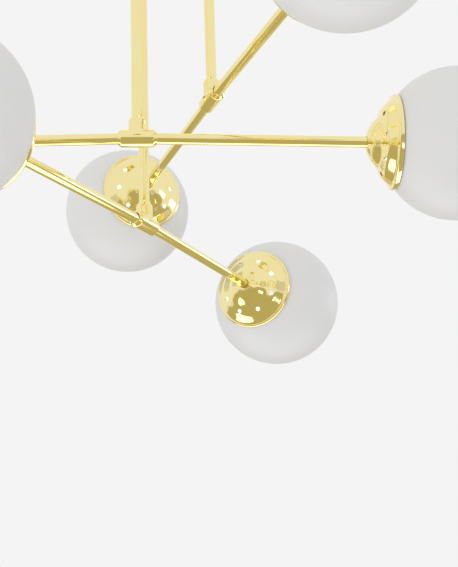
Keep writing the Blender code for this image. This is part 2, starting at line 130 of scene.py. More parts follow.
def hub_screw_place(bar):
    """Frame of a hub's grub screw: origin at its inner end, +Z out along it."""
    low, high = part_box(f"hub_screw_{bar}")
    place = hub_place(bar)
    level = (low.z + high.z) / 2 - place.translation.z
    lay = Matrix.Translation((0, 0, level)) @ Matrix.Rotation(-math.pi / 2, 4, "X")
    return place @ lay


def own_points(node, place):
    """A CAD node's points in the coordinates of a place."""
    mesh = frame["nodes"][node].data
    points = np.empty(len(mesh.vertices) * 3)
    mesh.vertices.foreach_get("co", points)
    back = np.array(place.inverted())
    return points.reshape(-1, 3) @ back[:3, :3].T + back[:3, 3]


def span(node, place):
    """Lowest and highest level of a CAD node along a place's +Z."""
    levels = own_points(node, place)[:, 2]
    return float(levels.min()), float(levels.max())


def girth(node, place):
    """Greatest distance of a CAD node from a place's +Z axis."""
    points = own_points(node, place)
    return float(np.hypot(points[:, 0], points[:, 1]).max())


# Outlines and surfaces


def rounded(corners, reach, steps=5):
    """Softens an outline's inner corners: each becomes a quadratic curve between the
    points one reach before and after it, held straight a little beyond both ends."""
    points = np.asarray(corners, float)
    corner = points[1:-1]
    sides = np.stack([points[:-2] - corner, points[2:] - corner])
    lengths = np.linalg.norm(sides, axis=2)
    reach = np.minimum(np.broadcast_to(reach, len(corner)), 0.42 * lengths.min(axis=0))
    back, ahead = sides / lengths[:, :, None] * reach[None, :, None]
    t = np.linspace(0, 1, steps + 1)[None, :, None]
    curve = corner[:, None] + (1 - t) ** 2 * back[:, None] + t**2 * ahead[:, None]
    holds = [(corner + 1.15 * back)[:, None], curve, (corner + 1.15 * ahead)[:, None]]
    middle = np.concatenate(holds, axis=1).reshape(-1, 2)
    return np.concatenate([points[:1], middle, points[-1:]])


def rounded_loop(corners, reach, steps=4):
    """The same softening for an outline that closes on itself."""
    points = np.asarray(corners, float)
    wrapped = np.concatenate([points[-1:], points, points[:1]])
    return rounded(wrapped, reach, steps)[1:-1]


def arc(centre, radius, first, last, steps):
    """Outline of a ball about a height: height = centre - radius cos a, radius sin a."""
    a = np.linspace(first, last, steps + 1)
    return np.stack([centre - radius * np.cos(a), radius * np.sin(a)], axis=1)


def runs(outline):
    """Distance along an outline from its first point to each point."""
    steps = np.linalg.norm(np.diff(outline, axis=0), axis=1)
    return np.concatenate([[0], np.cumsum(steps)])


def inward(outline):
    """Unit normals that point from an outline's outer side into the material."""
    along = np.gradient(outline, runs(outline), axis=0)
    along /= np.linalg.norm(along, axis=1)[:, None]
    return np.stack([along[:, 1], -along[:, 0]], axis=1)


def lip(outline, wall, steps=6):
    """Half-round edge of a sheet at an outline's last point, from outside to inside:
    middle + wall/2 (cos a towards the outer side, sin a straight on), without its ends."""
    into = inward(outline)[-1]
    on = np.array([-into[1], into[0]])
    a = np.linspace(0, math.pi, steps + 1)[1:-1, None]
    return outline[-1] + wall / 2 * ((1 - np.cos(a)) * into + np.sin(a) * on)


def turned_points(outline, turns):
    """Points (radius cos t, radius sin t, height) for each outline row and turn t."""
    height, radius = np.asarray(outline, float).T[:, :, None]
    flat = np.broadcast_to(height, (len(height), len(turns)))
    return np.stack([radius * np.cos(turns), radius * np.sin(turns), flat], axis=-1)


def quads(ids):
    """Quads between neighbouring rows of a grid of point numbers that closes around."""
    after = np.roll(ids, -1, axis=1)
    return np.stack([ids[:-1], after[:-1], after[1:], ids[1:]], axis=-1).reshape(-1, 4)


def all_round(facets):
    return np.arange(facets) * 2 * math.pi / facets


def polar(points):
    """Turn and distance of each point about +Z."""
    turn = np.arctan2(points[..., 1], points[..., 0])
    return turn, np.maximum(np.hypot(points[..., 0], points[..., 1]), 1e-9)


def drawn_in(points, share):
    """Points with their distances from +Z multiplied by a share."""
    moved = points.copy()
    moved[..., :2] *= share[..., None]
    return moved


def turned(outline, facets=64, shape=None):
    """Surface of revolution. It closes at a pole where an end lies on the axis, and
    otherwise joins its last row to its first. shape changes the grid of points."""
    points = turned_points(outline, all_round(facets))
    if shape:
        points = shape(points)
    ids = np.arange(points[..., 0].size).reshape(points.shape[:2])
    if outline[0][1] > 0:
        ids = np.concatenate([ids, ids[:1]])
    else:
        ids[0], ids[-1] = ids[0, 0], ids[-1, 0]
    return points.reshape(-1, 3), quads(ids)


def swept(path, section):
    """A closed section carried along a path in the XZ plane, square to it, with capped
    ends. A section row is (across, thick): across is along Y, thick along the normal."""
    along = np.gradient(path, axis=0)
    along /= np.linalg.norm(along, axis=1)[:, None]
    normal = np.stack([-along[:, 1], along[:, 0]], axis=1)
    flat = path[:, None] + section[None, :, 1:] * normal[:, None]
    across = np.broadcast_to(section[:, 0], flat.shape[:2])
    rows = np.stack([flat[..., 0], across, flat[..., 1]], axis=-1)
    caps = rows[[0, -1]].mean(axis=1, keepdims=True)
    rows = np.concatenate([np.repeat(caps[:1], len(section), 1), rows])
    rows = np.concatenate([rows, np.repeat(caps[1:], len(section), 1)])
    ids = np.arange(rows[..., 0].size).reshape(rows.shape[:2])
    ids[0], ids[-1] = ids[0, 0], ids[-1, 0]
    return rows.reshape(-1, 3), quads(ids)


def spun(surface, turn):
    """A surface turned about its own +Z."""
    points, faces = surface
    c, s = math.cos(turn), math.sin(turn)
    return points @ np.array([[c, s, 0], [-s, c, 0], [0, 0, 1]]), faces


def together(*surfaces):
    """Several closed surfaces as the shells of one."""
    starts = np.cumsum([0] + [len(points) for points, _ in surfaces])
    faces = [faces + start for (_, faces), start in zip(surfaces, starts)]
    return np.concatenate([points for points, _ in surfaces]), np.concatenate(faces)


def hole_walls(outer, inner, kept):
    """Quads through the wall along each edge between a kept cell and a missing one."""
    walls = []
    below = np.pad(kept, ((1, 0), (0, 0)), constant_values=True)[:-1]
    beside = np.roll(kept, 1, axis=1)
    after_out, after_in = np.roll(outer, -1, axis=1), np.roll(inner, -1, axis=1)
    across = (outer[:-1], after_out[:-1], after_in[:-1], inner[:-1])
    upward = (outer[:-1], outer[1:], inner[1:], inner[:-1])
    walls.append(np.stack(across, axis=-1)[below & ~kept])
    walls.append(np.stack(across, axis=-1)[kept & ~below][:, ::-1])
    walls.append(np.stack(upward, axis=-1)[kept & ~beside])
    walls.append(np.stack(upward, axis=-1)[beside & ~kept][:, ::-1])
    return np.concatenate(walls)


def pierced_shell(outline, wall, holes, hole, ring, first, spare=3):
    """Turned sheet with a ring of round holes, as a grid of run along the outline and
    turn about the axis. Round each hole a square patch of the grid is drawn in: its
    middle half is left out, and the rest spreads evenly from the hole's circle to the
    patch's edge. The inner side is the outer one moved inward by the wall."""
    cells = 12
    run = runs(outline)
    middle = np.interp(ring, outline[:, 1], run)
    half, sector = 1.4 * hole, math.pi / holes
    patch = np.linspace(-half, half, cells + 1)
    beyond = run[np.abs(run - middle) > 1.03 * half]
    levels = np.sort(np.concatenate([beyond, middle + patch]))
    side = np.linspace(half / ring, sector, spare + 1)[1:]
    steps = np.concatenate([-side[::-1], patch / ring, side[:-1]])
    centres = first + np.arange(holes)[:, None] * 2 * sector
    turns = np.tile(steps, holes)
    du, dv = np.broadcast_arrays(turns * ring, (levels - middle)[:, None])
    size = np.maximum(np.maximum(np.abs(du), np.abs(dv)) / half, 1e-9)
    far = np.maximum(np.hypot(du, dv), 1e-9)
    share = np.clip(2 * size - 1, 0, 1)
    rise = (1 - share) * dv / far * hole + share * dv / size
    circle_level = middle + dv / far * hole
    circle_turn = du / far * hole / np.interp(circle_level, run, outline[:, 1])
    turn = (1 - share) * circle_turn + share * du / size / ring
    drawn = size < 1 - 1e-6
    level = np.where(drawn, middle + rise, levels[:, None])
    turn = np.where(drawn, turn, turns) + np.repeat(centres, len(steps))
    rows = []
    for sheet in (outline, outline + wall * inward(outline)):
        height, radius = (np.interp(level, run, sheet[:, k]) for k in (0, 1))
        rows.append(np.stack([radius * np.cos(turn), radius * np.sin(turn), height], -1))
    plain = turn[-1]
    count = len(levels)
    edge = turned_points(lip(outline, wall), plain)
    ids = np.arange((2 * count + len(edge)) * len(turns)).reshape(-1, len(turns))
    outer, inner, lips = ids[:count], ids[count : 2 * count], ids[2 * count :]
    rim = np.concatenate([outer[-1:], lips, inner[-1:]])
    if outline[0, 1] > 0:
        base = quads(np.stack([inner[0], outer[0]]))
    else:
        outer[0], inner[0] = outer[0, 0], inner[0, 0]
        base = np.empty((0, 4), int)
    middle_cell = size <= 0.5 + 1e-6
    gone = middle_cell[:-1] & middle_cell[1:]
    kept = ~(gone & np.roll(gone, -1, axis=1))
    through = hole_walls(outer, inner, kept)
    sheets = [quads(outer)[kept.ravel()], quads(inner)[kept.ravel()][:, ::-1]]
    points = np.concatenate([*rows, edge]).reshape(-1, 3)
    return points, np.concatenate([*sheets, quads(rim), base, through])


def split_poles(faces):
    """Separates the quads that meet a pole, which are triangles, from the whole ones."""
    low, high = faces[:, 0] == faces[:, 1], faces[:, 2] == faces[:, 3]
    triangles = np.concatenate([faces[low][:, [0, 2, 3]], faces[high][:, :3]])
    return faces[~low & ~high], triangles


def volume(points, faces):
    """Signed volume within closed faces, positive when they point outward."""
    a, b, c, d = (points[faces[:, k]] for k in range(4))
    halves = np.cross(b, c) * a + np.cross(c, d) * a
    return halves.sum() / 6


# Making and placing


def add_piece(name, surface, place, body, finish, node=None):
    """One finished piece, at the origin with its place in its mesh, riding its body.
    The attribute own_place keeps each point's place about the piece's own axis."""
    points, faces = surface
    if volume(points, faces) < 0:
        faces = faces[:, ::-1]
        faces = np.where((faces[:, :1] == faces[:, 3:]), np.roll(faces, 1, axis=1), faces)
    whole, corners = split_poles(faces)
    used = np.unique(np.concatenate([whole.ravel(), corners.ravel()]))
    number = np.zeros(len(points), int)
    number[used] = np.arange(len(used))
    own = points[used]
    matrix = np.array(place)
    mesh = bpy.data.meshes.new(name)
    polygons = number[whole].tolist() + number[corners].tolist()
    mesh.from_pydata(own @ matrix[:3, :3].T + matrix[:3, 3], [], polygons)
    kept = mesh.attributes.new("own_place", "FLOAT_VECTOR", "POINT")
    kept.data.foreach_set("vector", own.astype(np.float32).ravel())
    mesh.shade_smooth()
    mesh.set_sharp_from_angle(angle=SHARP)
    mesh.materials.append(finish)
    piece = bpy.data.objects.new(name, mesh)
    bpy.context.scene.collection.objects.link(piece)
    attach(piece, body)
    if node:
        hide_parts(node)
    return piece


def add_at_cups(name, kind, finish, shape, rides="bar"):
    """A piece at every cup, shaped from the depths and girth of its CAD node."""
    for arm in ARMS:
        place, node = cup_place(arm), f"{kind}_{arm}"
        surface = shape(*span(node, place), girth(node, place))
        body = f"bar_{arm[0]}" if rides == "bar" else node
        add_piece(f"{name}_{arm}", surface, place, body, finish, node)


# Finishes


class Shade:
    """A node's output in a material's tree; arithmetic on it adds Math nodes."""

    def __init__(self, tree, output=None):
        self.tree = tree
        self.output = output

    def node(self, kind, settings=None, sockets=None, output=0):
        """Adds a node, makes its settings, fills or links its sockets, gives an output."""
        made = self.tree.nodes.new(kind)
        for name, value in (settings or {}).items():
            setattr(made, name, value)
        for name, value in (sockets or {}).items():
            if isinstance(value, Shade):
                self.tree.links.new(value.output, made.inputs[name])
            else:
                made.inputs[name].default_value = value
        return Shade(self.tree, made.outputs[output] if made.outputs else None)

    def math(self, operation, first, second):
        return self.node("ShaderNodeMath", {"operation": operation}, {0: first, 1: second})

    def __add__(self, other):
        return self.math("ADD", self, other)

    def __mul__(self, other):
        return self.math("MULTIPLY", self, other)

    __radd__ = __add__
    __rmul__ = __mul__

    def noise(self, place, scale, detail=2.0):
        """Soft noise from 0 to 1 at a place."""
        sockets = {"Vector": place, "Scale": scale, "Detail": detail}
        return self.node("ShaderNodeTexNoise", {}, sockets)

    def blend(self, share, first, second):
        """Colour between two others."""
        sockets = {0: share, 6: (*first, 1.0), 7: (*second, 1.0)}
        return self.node("ShaderNodeMix", {"data_type": "RGBA"}, sockets, 2)

    def stretched(self, place, scale):
        """A place with each of its coordinates multiplied."""
        settings = {"operation": "MULTIPLY"}
        return self.node("ShaderNodeVectorMath", settings, {0: place, 1: scale})

    def own_place(self):
        """Place about the piece's own axis."""
        return self.node("ShaderNodeAttribute", {"attribute_name": "own_place"}, {}, "Vector")

    def bump(self, height, strength, distance):
        sockets = {"Strength": strength, "Distance": distance, "Height": height}
        return self.node("ShaderNodeBump", {}, sockets)

    def surface(self, **sockets):
        """The shader itself. Underscores in the names stand for spaces."""
        named = {name.replace("_", " "): value for name, value in sockets.items()}
        shader = self.node("ShaderNodeBsdfPrincipled", {}, named)
        self.node("ShaderNodeOutputMaterial", {}, {"Surface": shader})


def new_finish(name):
    """An empty material and the start of its node tree."""
    made = bpy.data.materials.new(name)
    made.use_nodes = True
    made.node_tree.nodes.clear()
    return made, Shade(made.node_tree)


def ring_lines(shade, own, scale):
    """Fine lines round the axis, as a lathe leaves: noise of distance from it and height."""
    flat = shade.stretched(own, (1.0, 1.0, 0.0))
    settings = {"operation": "LENGTH"}
    radius = shade.node("ShaderNodeVectorMath", settings, {0: flat}, "Value")
    height = shade.node("ShaderNodeSeparateXYZ", {}, {0: own}, "Z")
    place = shade.node("ShaderNodeCombineXYZ", {}, {0: radius, 1: height})
    return shade.noise(place, scale, 1.0)


def brass(name, drawn):
    """Mirror polished pale gold brass under clear lacquer. Spun and turned pieces keep
    faint rings from the lathe; drawn tubes keep faint lines along their length."""
    colours = bpy.context.scene.chandelier_finish
    made, shade = new_finish(name)
    own = shade.own_place()
    cloud = shade.noise(own, 26.0, 3.0)
    if drawn:
        lines = shade.noise(shade.stretched(own, (1.0, 1.0, 0.01)), 1400.0, 1.0)
    else:
        lines = ring_lines(shade, own, 1500.0)
    roughness = colours.brass_roughness + 0.03 * cloud + 0.02 * lines
    shade.surface(
        Base_Color=shade.blend(cloud, colours.brass_warm, colours.brass_pale),
        Metallic=1.0,
        Roughness=roughness,
        Coat_Weight=0.12,
        Coat_Roughness=0.04,
        Normal=shade.bump(lines, 0.05, 0.00002),
    )
    return made


def opal(centre_height, inside):
    """Satin etched opal glass: milky all through, faintly clouded, with a fine tooth.
    Its inner side, every point nearer to the ball's centre than the middle of the glass,
    has a painted glow in the opal's colour, standing in for daylight through the ball."""
    colours = bpy.context.scene.chandelier_finish
    made, shade = new_finish("opal_glass")
    own = shade.own_place()
    cloud = shade.noise(own, 14.0, 3.0)
    tooth = shade.noise(own, 2600.0, 1.0)
    milk = colours.opal
    deeper = [0.975 * value for value in milk]
    centre = {0: own, 1: (0.0, 0.0, centre_height)}
    offset = shade.node("ShaderNodeVectorMath", {"operation": "SUBTRACT"}, centre)
    far = shade.node("ShaderNodeVectorMath", {"operation": "LENGTH"}, {0: offset}, "Value")
    # Mask of the glass's inner side, where the painted glow goes
    within = shade.math("LESS_THAN", far, inside)
    shade.surface(
        Base_Color=shade.blend(cloud, milk, deeper),
        Roughness=0.42 + 0.08 * cloud,
        Specular_IOR_Level=0.35,
        # Painted glow: the inner side emits the opal's colour, standing in for daylight through
        # the ball
        Emission_Color=shade.blend(within, (0.0, 0.0, 0.0), milk),
        Emission_Strength=colours.opal_painted_glow,
        Normal=shade.bump(tooth, 0.08, 0.00003),
    )
    return made


def frosted():
    """Acid-frosted bulb glass with an uneven haze."""
    made, shade = new_finish("bulb_glass")
    own = shade.own_place()
    haze = shade.noise(own, 60.0, 2.0)
    shade.surface(
        Base_Color=shade.blend(haze, (0.93, 0.93, 0.90), (0.86, 0.87, 0.86)),
        Roughness=0.22 + 0.12 * haze,
        Coat_Weight=0.3,
        Normal=shade.bump(shade.noise(own, 1800.0, 1.0), 0.06, 0.00003),
    )
    return made


def nickel():
    """Nickel-plated screw cap, dulled in random patches."""
    made, shade = new_finish("nickel_plate")
    own = shade.own_place()
    dull = shade.noise(own, 500.0, 3.0)
    shade.surface(
        Base_Color=shade.blend(dull, (0.74, 0.72, 0.68), (0.60, 0.57, 0.52)),
        Metallic=1.0,
        Roughness=0.18 + 0.22 * dull,
    )
    return made


def zinc(name, place_kind):
    """Bright zinc plate with its pale, slightly patchy spangle."""
    made, shade = new_finish(name)
    if place_kind == "own":
        place = shade.own_place()
    else:
        place = shade.node("ShaderNodeTexCoord", {}, {}, "Object")
    cell = shade.node("ShaderNodeTexVoronoi", {}, {"Vector": place, "Scale": 380.0})
    patch = shade.noise(place, 90.0, 3.0)
    mask = 0.5 * patch + 0.5 * cell
    shade.surface(
        Base_Color=shade.blend(mask, (0.70, 0.71, 0.71), (0.52, 0.53, 0.55)),
        Metallic=1.0,
        Roughness=0.24 + 0.2 * mask,
        Normal=shade.bump(patch, 0.1, 0.0001),
    )
    return made


def spring():
    """Rolled spring steel with lines along the strip and a straw tint from tempering."""
    made, shade = new_finish("spring_steel")
    own = shade.own_place()
    lines = ring_lines(shade, own, 900.0)
    tint = shade.noise(own, 70.0, 2.0)
    shade.surface(
        Base_Color=shade.blend(tint, (0.60, 0.59, 0.56), (0.50, 0.46, 0.38)),
        Metallic=1.0,
        Roughness=0.22 + 0.14 * lines,
        Normal=shade.bump(lines, 0.08, 0.00003),
    )
    return made


def ceramic():
    """Glazed white ceramic, a little mottled where the glaze pools."""
    made, shade = new_finish("white_ceramic")
    own = shade.own_place()
    pool = shade.noise(own, 120.0, 3.0)
    shade.surface(
        Base_Color=shade.blend(pool, (0.88, 0.87, 0.84), (0.80, 0.79, 0.75)),
        Roughness=0.14 + 0.14 * pool,
        Coat_Weight=0.4,
        Normal=shade.bump(pool, 0.12, 0.0002),
    )
    return made


def moulded():
    """Moulded off-white plastic with a fine spark-eroded texture."""
    made, shade = new_finish("terminal_plastic")
    place = shade.node("ShaderNodeTexCoord", {}, {}, "Object")
    grain = shade.noise(place, 2200.0, 2.0)
    tone = shade.noise(place, 80.0, 2.0)
    shade.surface(
        Base_Color=shade.blend(tone, (0.82, 0.82, 0.80), (0.74, 0.74, 0.71)),
        Roughness=0.42 + 0.14 * grain,
        Normal=shade.bump(grain, 0.3, 0.0001),
    )
    return made


def glowing(name, colour):
    """Evenly lit card, slightly mottled."""
    made, shade = new_finish(name)
    place = shade.node("ShaderNodeTexCoord", {}, {}, "Object")
    tone = shade.noise(place, 0.6, 2.0)
    dimmer = [0.94 * value for value in colour]
    light = shade.node("ShaderNodeEmission", {}, {"Color": shade.blend(tone, colour, dimmer)})
    shade.node("ShaderNodeOutputMaterial", {}, {"Surface": light})
    return made


def painted(name, colour):
    """Matt paint of the stage, with a barely uneven tone."""
    made, shade = new_finish(name)
    place = shade.node("ShaderNodeTexCoord", {}, {}, "Object")
    tone = shade.noise(place, 0.8, 2.0)
    shade.surface(
        Base_Color=shade.blend(tone, colour, [0.985 * value for value in colour]),
        Roughness=0.9,
        Specular_IOR_Level=0.1,
    )
    return made


# Settings


def length(name, description, default):
    """A size property in metres."""
    settings = {"name": name, "description": description, "default": default}
    return FloatProperty(**settings, min=0.0, precision=5, unit="LENGTH")


def colour(name, description, default):
    settings = {"name": name, "description": description, "default": default}
    return FloatVectorProperty(**settings, subtype="COLOR", size=3, min=0.0, max=1.0)


class ChandelierCupSizes(PropertyGroup):
    bore: length("Bore", "Radius of the hole for the arm", 0.0053)
    neck: length("Neck", "Radius of the flat ring round the arm", 0.0080)
    shoulder_depth: length("Shoulder depth", "Depth of the dome's shoulder", 0.0032)
    shoulder: length("Shoulder", "Radius of the dome's shoulder", 0.0155)
    dome_depth: length("Dome depth", "Depth at which the dome meets the step", 0.0102)
    dome: length("Dome", "Radius of the small dome", 0.0235)
    step_depth: length("Step depth", "Depth at which the step meets the dish", 0.0140)
    step: length("Step", "Radius at the outer edge of the step", 0.0324)
    dish_depth: length("Dish depth", "Depth of the dish", 0.0218)
    dish: length("Dish", "Radius of the dish", 0.0398)
    rim_flare: length("Rim flare", "Fall of the rim's flange", 0.0007)
    wall: length("Wall", "Thickness of the sheet", 0.0010)
    vent: length("Vent", "Radius of a vent", 0.0025)
    vent_ring: length("Vent ring", "Radius of the circle of vents", 0.0295)
    vents: IntProperty(name="Vents", description="Number of vents", default=8, min=3)


class ChandelierGlobeSizes(PropertyGroup):
    radius: length("Radius", "Outer radius of the ball", 0.0700)
    wall: length("Wall", "Thickness of the glass", 0.0022)
    neck: length("Neck", "Outer radius of the neck in the cup", 0.0365)


class ChandelierTubeSizes(PropertyGroup):
    radius: length("Radius", "Outer radius of arms and rods", 0.0050)
    bore: length("Bore", "Radius of the wire way in the tubes", 0.0025)
    edge: length("Edge", "Rounding of the tube ends", 0.0006)
    stop: length("Stop ring", "Radius of the rod's ring under the canopy", 0.0080)
    stop_height: length("Stop height", "Height of that ring", 0.0080)


class ChandelierHubSizes(PropertyGroup):
    sleeve: length("Sleeve", "Radius of the cross sleeve", 0.0080)
    half: length("Half length", "Half the length of the sleeve", 0.0175)
    collar: length("Collar", "Radius of the upright collar", 0.0078)
    height: length("Height", "Height of the collar above the bar", 0.0200)
    chamfer: length("Chamfer", "Height of the end chamfers", 0.0030)
    socket: length("Socket", "Radius of the hole for a tube", 0.0053)
    socket_depth: length("Socket depth", "How far in a tube goes", 0.0120)
    weld: length("Weld", "Radius of the fillet between collar and sleeve", 0.0012)


class ChandelierCanopySizes(PropertyGroup):
    corner: length("Corner", "Rounding of the canopy's edge", 0.0050)
    wall: length("Wall", "Thickness of the canopy's sheet", 0.0012)
    rod_hole: length("Rod hole", "Radius of the hole for a rod", 0.0053)


class ChandelierFinish(PropertyGroup):
    brass_pale: colour("Pale brass", "Colour of the brass", (0.96, 0.85, 0.43))
    brass_warm: colour("Warm brass", "Colour where the brass is warmer", (0.94, 0.81, 0.37))
    brass_roughness: FloatProperty(
        name="Brass roughness", description="Roughness of the polish", default=0.06, min=0.0
    )
    opal: colour("Opal", "Colour of the globes", (0.78, 0.78, 0.785))
    # Strength of the painted glow on the globes' inner side, standing in for daylight through the
    # glass
    opal_painted_glow: FloatProperty(
        name="Opal glow", description="Daylight inside the globes", default=0.55, min=0.0
    )


class ChandelierStage(PropertyGroup):
    lens: FloatProperty(
        name="Lens", description="Focal length in millimetres", default=76.65, min=1.0
    )
    pitch: FloatProperty(
        name="Pitch",
        description="Upward tilt of the camera",
        default=math.radians(17.471),
        subtype="ANGLE",
    )
    roll: FloatProperty(
        name="Roll",
        description="Turn of the picture",
        default=math.radians(-1.867),
        subtype="ANGLE",
    )
    station: FloatVectorProperty(
        name="Station",
        description="Place of the camera",
        default=(0.0554, -1.0304, -0.8669),
        subtype="TRANSLATION",
    )
    backdrop: colour("Backdrop", "Colour of the studio", (0.905, 0.905, 0.905))
    floor: colour("Floor", "Colour of the floor", (0.90, 0.90, 0.90))
    card: colour("Card", "Colour of the card that warms the brass", (0.52, 0.46, 0.25))
    floor_drop: length("Floor drop", "Height of the lamp above the floor", 1.1)


# Operators


class CHANDELIER_OT_stage(Operator):
    """Camera, pale backdrop and floor, and soft studio light"""

    bl_idname = "chandelier.stage"
    bl_label = "Stage"

    def execute(self, context):
        stage = context.scene.chandelier_stage
        context.scene.view_settings.view_transform = "Standard"
        self.add_camera(context.scene, stage)
        self.add_world(context.scene, stage)
        low, high = CAD_BOX
        level = low.z - stage.floor_drop
        self.add_disc("floor", level, 40.0, painted("floor_paint", stage.floor))
        card = self.add_disc("warm_card", level + 0.01, 12.0, glowing("warm_card", stage.card))
        card.visible_camera = card.visible_diffuse = card.visible_shadow = False
        middle = Vector((0, 0, low.z / 2))
        strip = Vector((0.0, high.y + 0.35, level + 0.02))
        self.add_light("under_strip", strip, strip + UP, (4.5, 1.1), 26.0, "glossy")
        soft_lights = (
            ("side_strip", (2.2, 1.05, middle.z + 0.1), (1.6, 0.45), 6.0, "glossy"),
            ("low_front", (0.9, -1.5, level + 0.3), (0.5, 0.35), 1.2, "glossy"),
            ("fill", (-1.2, -1.6, level + 0.2), (1.2, 1.2), 9.0, "diffuse"),
        )
        for name, place, size, power, use in soft_lights:
            self.add_light(name, Vector(place), middle, size, power, use)
        return {"FINISHED"}

    def add_camera(self, scene, stage):
        """Looks along +Y, tilted up by the pitch and turned by the roll."""
        camera = bpy.data.objects.new("camera", bpy.data.cameras.new("camera"))
        scene.collection.objects.link(camera)
        camera.data.lens = stage.lens
        tilt = Matrix.Rotation(math.pi / 2 + stage.pitch, 4, "X")
        roll = Matrix.Rotation(stage.roll, 4, "Z")
        camera.matrix_world = Matrix.Translation(stage.station) @ tilt @ roll
        scene.camera = camera

    def add_world(self, scene, stage):
        world = bpy.data.worlds.new("studio")
        world.use_nodes = True
        backdrop = world.node_tree.nodes["Background"]
        backdrop.inputs["Color"].default_value = (*stage.backdrop, 1.0)
        scene.world = world

    def add_disc(self, name, level, reach, finish):
        """A wide disc, as a grid of distance and turn about its middle."""
        outline = [(level, 0.0), (level, reach)]
        points = turned_points(outline, all_round(96)).reshape(-1, 3)
        ids = np.arange(len(points)).reshape(2, -1)
        ids[0] = ids[0, 0]
        triangles = split_poles(quads(ids))[1]
        mesh = bpy.data.meshes.new(name)
        mesh.from_pydata(points, [], triangles[:, ::-1].tolist())
        mesh.materials.append(finish)
        disc = bpy.data.objects.new(name, mesh)
        bpy.context.scene.collection.objects.link(disc)
        return disc

    def add_light(self, name, place, target, size, power, use):
        """A soft rectangular light that faces a target and that the camera doesn't see,
        either for the gloss on the brass or for the shading of the glass."""
        data = bpy.data.lights.new(name, "AREA")
        data.shape = "RECTANGLE"
        data.size, data.size_y = size
        data.energy = power
        light = bpy.data.objects.new(name, data)
        bpy.context.scene.collection.objects.link(light)
        light.visible_camera = False
        light.visible_diffuse = use == "diffuse"
        light.visible_glossy = use == "glossy"
        turn = (target - place).to_track_quat("-Z", "Y").to_matrix().to_4x4()
        light.matrix_world = Matrix.Translation(place) @ turn


class CHANDELIER_OT_globes(Operator):
    """Six opal glass globes with their necks"""

    bl_idname = "chandelier.globes"
    bl_label = "Globes"

    def execute(self, context):
        sizes = context.scene.chandelier_globe
        far = span(f"globe_{ARMS[0]}", cup_place(ARMS[0]))[1]
        finish = opal(far - sizes.radius, sizes.radius - sizes.wall / 2)

        def shape(low, high, _):
            return turned(self.outline(sizes, low, high), 96)

        add_at_cups("opal_globe", "globe", finish, shape, rides="globe")
        return {"FINISHED"}

    def outline(self, sizes, lip_depth, far):
        """Outer ball from its neck to its far pole, and back inside it: a ball's arc
        that turns, through a small fillet, into a straight neck with a round lip."""
        centre = far - sizes.radius
        inside = sizes.radius - sizes.wall
        neck_in = sizes.neck - sizes.wall
        outer_from = math.asin(sizes.neck / sizes.radius)
        inner_from = math.asin(neck_in / inside)
        outer = arc(centre, sizes.radius, outer_from, math.pi, 64)
        inner = arc(centre, inside, inner_from, math.pi, 56)
        half, fillet = sizes.wall / 2, 0.0015
        start = [(lip_depth + half, sizes.neck), tuple(outer[0]), tuple(outer[3])]
        neck = rounded(start, fillet)[:-1]
        end = [tuple(inner[3]), tuple(inner[0]), (lip_depth + half, neck_in)]
        throat = rounded(end, fillet)[1:]
        turn = np.linspace(0, math.pi, 9)[1:-1]
        ring = [lip_depth + half - half * np.sin(turn), neck_in + half - half * np.cos(turn)]
        outside = np.concatenate([np.stack(ring, axis=1), neck, outer[3:]])
        within = np.concatenate([inner[:2:-1], throat])
        outside[-1, 1] = 0.0
        within[0, 1] = 0.0
        return np.concatenate([outside, within])


class CHANDELIER_OT_cups(Operator):
    """Six spun brass cups with their rings of vents"""

    bl_idname = "chandelier.cups"
    bl_label = "Cups"

    def execute(self, context):
        cup = context.scene.chandelier_cup
        finish = brass("spun_brass", drawn=False)
        holes = (cup.vents, cup.vent, cup.vent_ring, math.pi)

        def shape(_, depth, rim):
            return pierced_shell(self.outline(cup, depth, rim), cup.wall, *holes)

        add_at_cups("spun_cup", "cup", finish, shape)
        return {"FINISHED"}

    def outline(self, cup, depth, rim):
        """From the arm's hole over the flat neck, the dome, the step and the dish to the
        rolled rim, with a curve of its own reach at each corner."""
        corners = [
            (0.0, cup.bore),
            (0.0, cup.neck),
            (cup.shoulder_depth, cup.shoulder),
            (cup.dome_depth, cup.dome),
            (cup.step_depth, cup.step),
            (cup.dish_depth, cup.dish),
            (cup.dish_depth + cup.rim_flare, rim),
            (depth - cup.wall / 2, rim),
        ]
        return rounded(corners, (0.0010, 0.0042, 0.0022, 0.0030, 0.0016, 0.0015), 8)


class CHANDELIER_OT_tubes(Operator):
    """Six arms and three drop rods of drawn brass tube"""

    bl_idname = "chandelier.tubes"
    bl_label = "Arms and rods"

    def execute(self, context):
        tube = context.scene.chandelier_tube
        finish = brass("drawn_brass", drawn=True)
        for arm in ARMS:
            place = arm_place(arm)
            low, high = span(f"arm_{arm}", place)
            outer = [(low, tube.radius), (high, tube.radius)]
            corners = [(low, tube.bore), *outer, (high, tube.bore)]
            surface = turned(rounded_loop(corners, tube.edge), 64)
            body, node = f"bar_{arm[0]}", f"arm_{arm}"
            add_piece(f"arm_tube_{arm}", surface, place, body, finish, node)
        for bar in BARS:
            place = rod_place(bar)
            low, high = span(f"rod_{bar}", place)
            surface = turned(self.rod(tube, low, high), 64)
            name = f"drop_rod_{bar}"
            add_piece(name, surface, place, "canopy_frame", finish, f"rod_{bar}")
        return {"FINISHED"}

    def rod(self, tube, low, high):
        """Tube with a chamfered stop ring that bears on the canopy from below."""
        gap, chamfer = 0.0003, 0.0015
        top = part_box("canopy")[0].z - gap
        base = top - tube.stop_height
        corners = [
            (low, tube.bore),
            (low, tube.radius),
            (base, tube.radius),
            (base, tube.stop - chamfer),
            (base + chamfer, tube.stop),
            (top, tube.stop),
            (top, tube.radius),
            (high, tube.radius),
            (high, tube.bore),
        ]
        return rounded_loop(corners, tube.edge)


